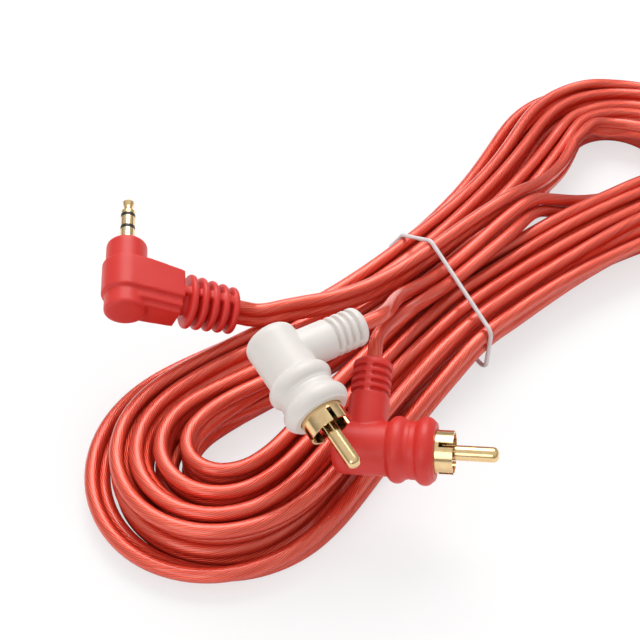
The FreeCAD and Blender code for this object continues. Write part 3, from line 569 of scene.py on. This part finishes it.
# the head's steps: how far each outline is inset, and from where to where it is along the shaft
head_steps = [
    prism(head_outline(0.0), -2.3, 6.2),
    prism(head_outline(0.9), -4.6, 0.0),
    prism(head_outline(1.9), -6.0, 0.0),
    lathe(rounded_rim(-6.9, 0.0, 4.85, 0.7), "X"),
]
collar = lathe([(4.0, 0.0), (4.0, 4.85), (11.6, 4.85), (12.1, 4.7), (12.5, 4.35), (12.7, 3.9),
                (12.8, 3.2), (12.8, 0.0)], "X")
spine = lathe([(10.0, 0.0), (10.0, 4.0), (26.8, 3.5), (26.8, 0.0)], "Y", flat=0.85)
web = block((-1.0, 12.0, -5.0), (1.0, 26.0, 5.0))


def slope_the_arm(points):
    """From 4.5 mm off the shaft the arm's top runs down towards the boot, by a sixth at its end."""
    share = np.clip((points[:, 1] - 4.5) / 8.5, 0.0, 1.0)
    arm = (points[:, 1] < 13.4) & (points[:, 0] > 0)
    points[:, 0] *= np.where(arm, 1.0 - 0.16 * share, 1.0)
    return points


moulding_red = moulded_pvc("satin_red_moulded_PVC", "#D32921", "#DD372F", 0.42)
jack_moulding = moulded("jack_moulding_skin", head_steps + [collar, spine, web] + ribs, jack_place,
                        voxel=0.21, rounds=10, shaped=slope_the_arm)
dress(jack_moulding, moulding_red, "red_moulding", "jack_moulding", "jack_core", "jack_cord_end")

# Jack's contacts: a tip, a ring and a sleeve of turned brass, plated with a thin layer of gold,
# with black nylon bands between them. The plating's polish is uneven in patches of 1.4 mm, so it
# glints, and the nylon is matt with specks of 0.4 mm.
gold = new_material("gold_plated_turned_brass")
place = add(gold, "ShaderNodeTexCoord").outputs["Object"]
wear = add(gold, "ShaderNodeTexNoise", Vector=place, Scale=700.0, Detail=3.0)
tone = add(gold, "ShaderNodeMix", {"data_type": "RGBA"}, Factor=wear.outputs["Fac"],
           _6=linear("#E6BE82"), _7=linear("#F7DDAE"))
polish = add(gold, "ShaderNodeMapRange", Value=wear.outputs["Fac"], To_Min=0.10, To_Max=0.24)
plating = add(gold, "ShaderNodeBsdfPrincipled", Base_Color=tone.outputs[2], Metallic=1.0,
              Roughness=polish.outputs[0])
add(gold, "ShaderNodeOutputMaterial", Surface=plating.outputs[0])
nylon = new_material("black_moulded_nylon")
place = add(nylon, "ShaderNodeTexCoord").outputs["Object"]
speck = add(nylon, "ShaderNodeTexNoise", Vector=place, Scale=2500.0, Detail=2.0)
dark = add(nylon, "ShaderNodeMix", {"data_type": "RGBA"}, Factor=speck.outputs["Fac"],
           _6=linear("#141212"), _7=linear("#241F1D"))
matt = add(nylon, "ShaderNodeMapRange", Value=speck.outputs["Fac"], To_Min=0.35, To_Max=0.55)
band = add(nylon, "ShaderNodeBsdfPrincipled", Base_Color=dark.outputs[2],
           Roughness=matt.outputs[0])
add(nylon, "ShaderNodeOutputMaterial", Surface=band.outputs[0])


def finish_node(name, material):
    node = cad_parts[name]
    node.data.materials.clear()
    node.data.materials.append(material)


for name in ("jack_tip", "jack_ring", "jack_sleeve"):
    finish_node(name, gold)
for name in ("jack_tip_insulator", "jack_ring_insulator"):
    finish_node(name, nylon)

# Phono plugs: a right-angle body of soft PVC, white on the left channel and red on the right, with
# two rounded beads round the barrel for grip and four grooves in the neck, each bridged on two
# sides. Pin and shell are gold-plated brass, the pin held by a dark insulator.
barrel_back, barrel_front, barrel_radius, barrel_round = -6.4, 15.4, 5.8, 2.3
bead_radius, beads = 2.1, ((7.4, 5.0), (13.3, 5.15))
shell_room, shell_floor = 4.66, 12.4
neck_radius, groove_floor, first_groove, groove_gap = 4.4, 3.5, 11.7, 1.8
seam_at, seam_width, seam_depth = 9.9, 0.17, 0.14


def barrel_profile():
    """Round at its back, a little wider towards its mouth, with two beads and the shell's room."""
    outline = [(barrel_back, 0.0)]
    for a in range(0, 91, 10):
        a = math.radians(a)
        outline.append((barrel_back + barrel_round - barrel_round * math.cos(a),
                        barrel_radius - barrel_round + barrel_round * math.sin(a)))
    for x in np.arange(-3.8, barrel_front + 0.01, 0.2):
        radius = barrel_radius + 0.35 * min(max((x - 6.0) / 2.8, 0.0), 1.0)
        for centre, lift in beads:
            if abs(x - centre) < bead_radius:
                radius = max(radius, lift + math.sqrt(bead_radius ** 2 - (x - centre) ** 2))
        outline.append((float(x), radius))
    return outline + [(barrel_front, 5.6), (barrel_front, shell_room), (shell_floor, shell_room),
                      (shell_floor, 0.0)]


def parting_line(points):
    """A fine line round the barrel, where the mould's sleeve met its body."""
    radius = np.maximum(np.hypot(points[:, 1], points[:, 2]), 1e-6)
    dip = seam_depth * np.exp(-((points[:, 0] - seam_at) / seam_width) ** 2) * (radius > 5.4)
    points[:, 1] *= 1 - dip / radius
    points[:, 2] *= 1 - dip / radius
    return points


def phono_moulding(plug, place, material, bridged_along_x):
    """A plug's barrel and neck, with grooves 0.9 mm wide and bridges that end just inside it."""
    neck = [(0.0, 0.0), (0.0, neck_radius)]
    for groove in range(4):
        start = first_groove + groove_gap * groove
        neck += [(start, neck_radius), (start + 0.05, groove_floor),
                 (start + 0.85, groove_floor), (start + 0.9, neck_radius)]
    neck += [(18.8, neck_radius), (19.4, 4.2), (19.85, 3.7), (20.0, 3.0), (20.0, 0.0)]
    reach = 4.22
    if bridged_along_x:
        bridges = block((-reach, 11.5, -0.7), (reach, 18.2, 0.7))
    else:
        bridges = block((-0.7, 11.5, -reach), (0.7, 18.2, reach))
    solids = [lathe(barrel_profile(), "X"), lathe(neck, "Y"), bridges]
    skin = moulded(plug + "_body_skin", solids, place, voxel=0.19, rounds=4, shaped=parting_line)
    return dress(skin, material, plug + "_moulding",
                 plug + "_body", plug + "_core", plug + "_cord_end")


moulding_white = moulded_pvc("satin_white_moulded_PVC", "#E2DBD6", "#EAE4DF", 0.40)
white_body = phono_moulding("white", white_place, moulding_white, True)
red_body = phono_moulding("red", red_place, moulding_red, False)
for plug in ("white", "red"):
    finish_node(plug + "_pin", gold)
    finish_node(plug + "_shell", gold)
    finish_node(plug + "_insulator", nylon)

# Tie: a thin galvanised steel wire in a milky clear vinyl coating, bent tight round the waist by
# hand. The vinyl lets a little light in, so it looks pale, glossy and faintly clouded, and hides
# the wire.
coating = new_material("milky_clear_vinyl_coating")
place = add(coating, "ShaderNodeTexCoord").outputs["Object"]
haze = add(coating, "ShaderNodeTexNoise", Vector=place, Scale=500.0, Detail=2.0)
pale = add(coating, "ShaderNodeMix", {"data_type": "RGBA"}, Factor=haze.outputs["Fac"],
           _6=linear("#E9E1E1"), _7=linear("#FBF8F8"))
vinyl = add(coating, "ShaderNodeBsdfPrincipled", Base_Color=pale.outputs[2],
            Roughness=0.22, IOR=1.5, Transmission_Weight=0.2)
add(coating, "ShaderNodeOutputMaterial", Surface=vinyl.outputs[0])
steel = new_material("drawn_galvanised_steel")
place = add(steel, "ShaderNodeTexCoord").outputs["Object"]
drawn = add(steel, "ShaderNodeTexNoise", Vector=place, Scale=1500.0, Detail=2.0)
dull = add(steel, "ShaderNodeMapRange", Value=drawn.outputs["Fac"], To_Min=0.3, To_Max=0.5)
zinc = add(steel, "ShaderNodeBsdfPrincipled", Base_Color=linear("#C9C6C4"), Metallic=1.0,
           Roughness=dull.outputs[0])
add(steel, "ShaderNodeOutputMaterial", Surface=zinc.outputs[0])
finish_node("tie_coating", coating)
finish_node("tie_wire", steel)

# Studio: a wide pale floor under a surround that the camera sees as white. Its light is weaker
# towards the horizon, so that metal and gloss have something to show. A large soft lamp stands
# behind the object and above it, and a small one on the left fills the shadows.
floor_paint = new_material("white_studio_floor")
lit = add(floor_paint, "ShaderNodeBsdfDiffuse", Color=linear("#FBFAFA"))
shown = add(floor_paint, "ShaderNodeEmission", Color=(1.0, 1.0, 1.0, 1.0), Strength=1.0)
rays = add(floor_paint, "ShaderNodeLightPath")
seen = add(floor_paint, "ShaderNodeMath", {"operation": "MULTIPLY"},
           _0=rays.outputs["Is Camera Ray"], _1=0.65)
paint = add(floor_paint, "ShaderNodeMixShader", _0=seen.outputs[0], _1=lit.outputs[0],
            _2=shown.outputs[0])
add(floor_paint, "ShaderNodeOutputMaterial", Surface=paint.outputs[0])
floor = bpy.data.objects.new("floor", bpy.data.meshes.new("floor"))
floor.data.from_pydata([(-30, -30, 0), (30, -30, 0), (30, 30, 0), (-30, 30, 0)], [], [(0, 1, 2, 3)])
floor.data.materials.append(floor_paint)
bpy.context.collection.objects.link(floor)

world = bpy.data.worlds.new("surround")
bpy.context.scene.world = world
world.use_nodes = True
world.node_tree.nodes.clear()
direction = add(world, "ShaderNodeTexCoord").outputs["Generated"]
height = add(world, "ShaderNodeSeparateXYZ", Vector=direction).outputs[2]
sky = add(world, "ShaderNodeMapRange", {"interpolation_type": "SMOOTHSTEP"}, Value=height,
          From_Min=0.0, From_Max=0.9, To_Min=0.30, To_Max=0.75)
rays = add(world, "ShaderNodeLightPath")
white = add(world, "ShaderNodeMix", {"data_type": "FLOAT"}, Factor=rays.outputs["Is Camera Ray"],
            _2=sky.outputs[0], _3=1.0)
back = add(world, "ShaderNodeBackground", Color=(1.0, 1.0, 1.0, 1.0), Strength=white.outputs[0])
add(world, "ShaderNodeOutputWorld", Surface=back.outputs[0])

for name, place, size, power in (("back_softbox", (0.36, 0.36, 0.70), 0.60, 4.8),
                                 ("left_fill", (-0.65, -0.15, 0.40), 0.40, 0.9)):
    lamp = bpy.data.objects.new(name, bpy.data.lights.new(name, "AREA"))
    lamp.data.size = size
    lamp.data.energy = power
    lamp.location = place
    lamp.rotation_euler = (waist - lamp.location).to_track_quat("-Z", "Y").to_euler()
    bpy.context.collection.objects.link(lamp)
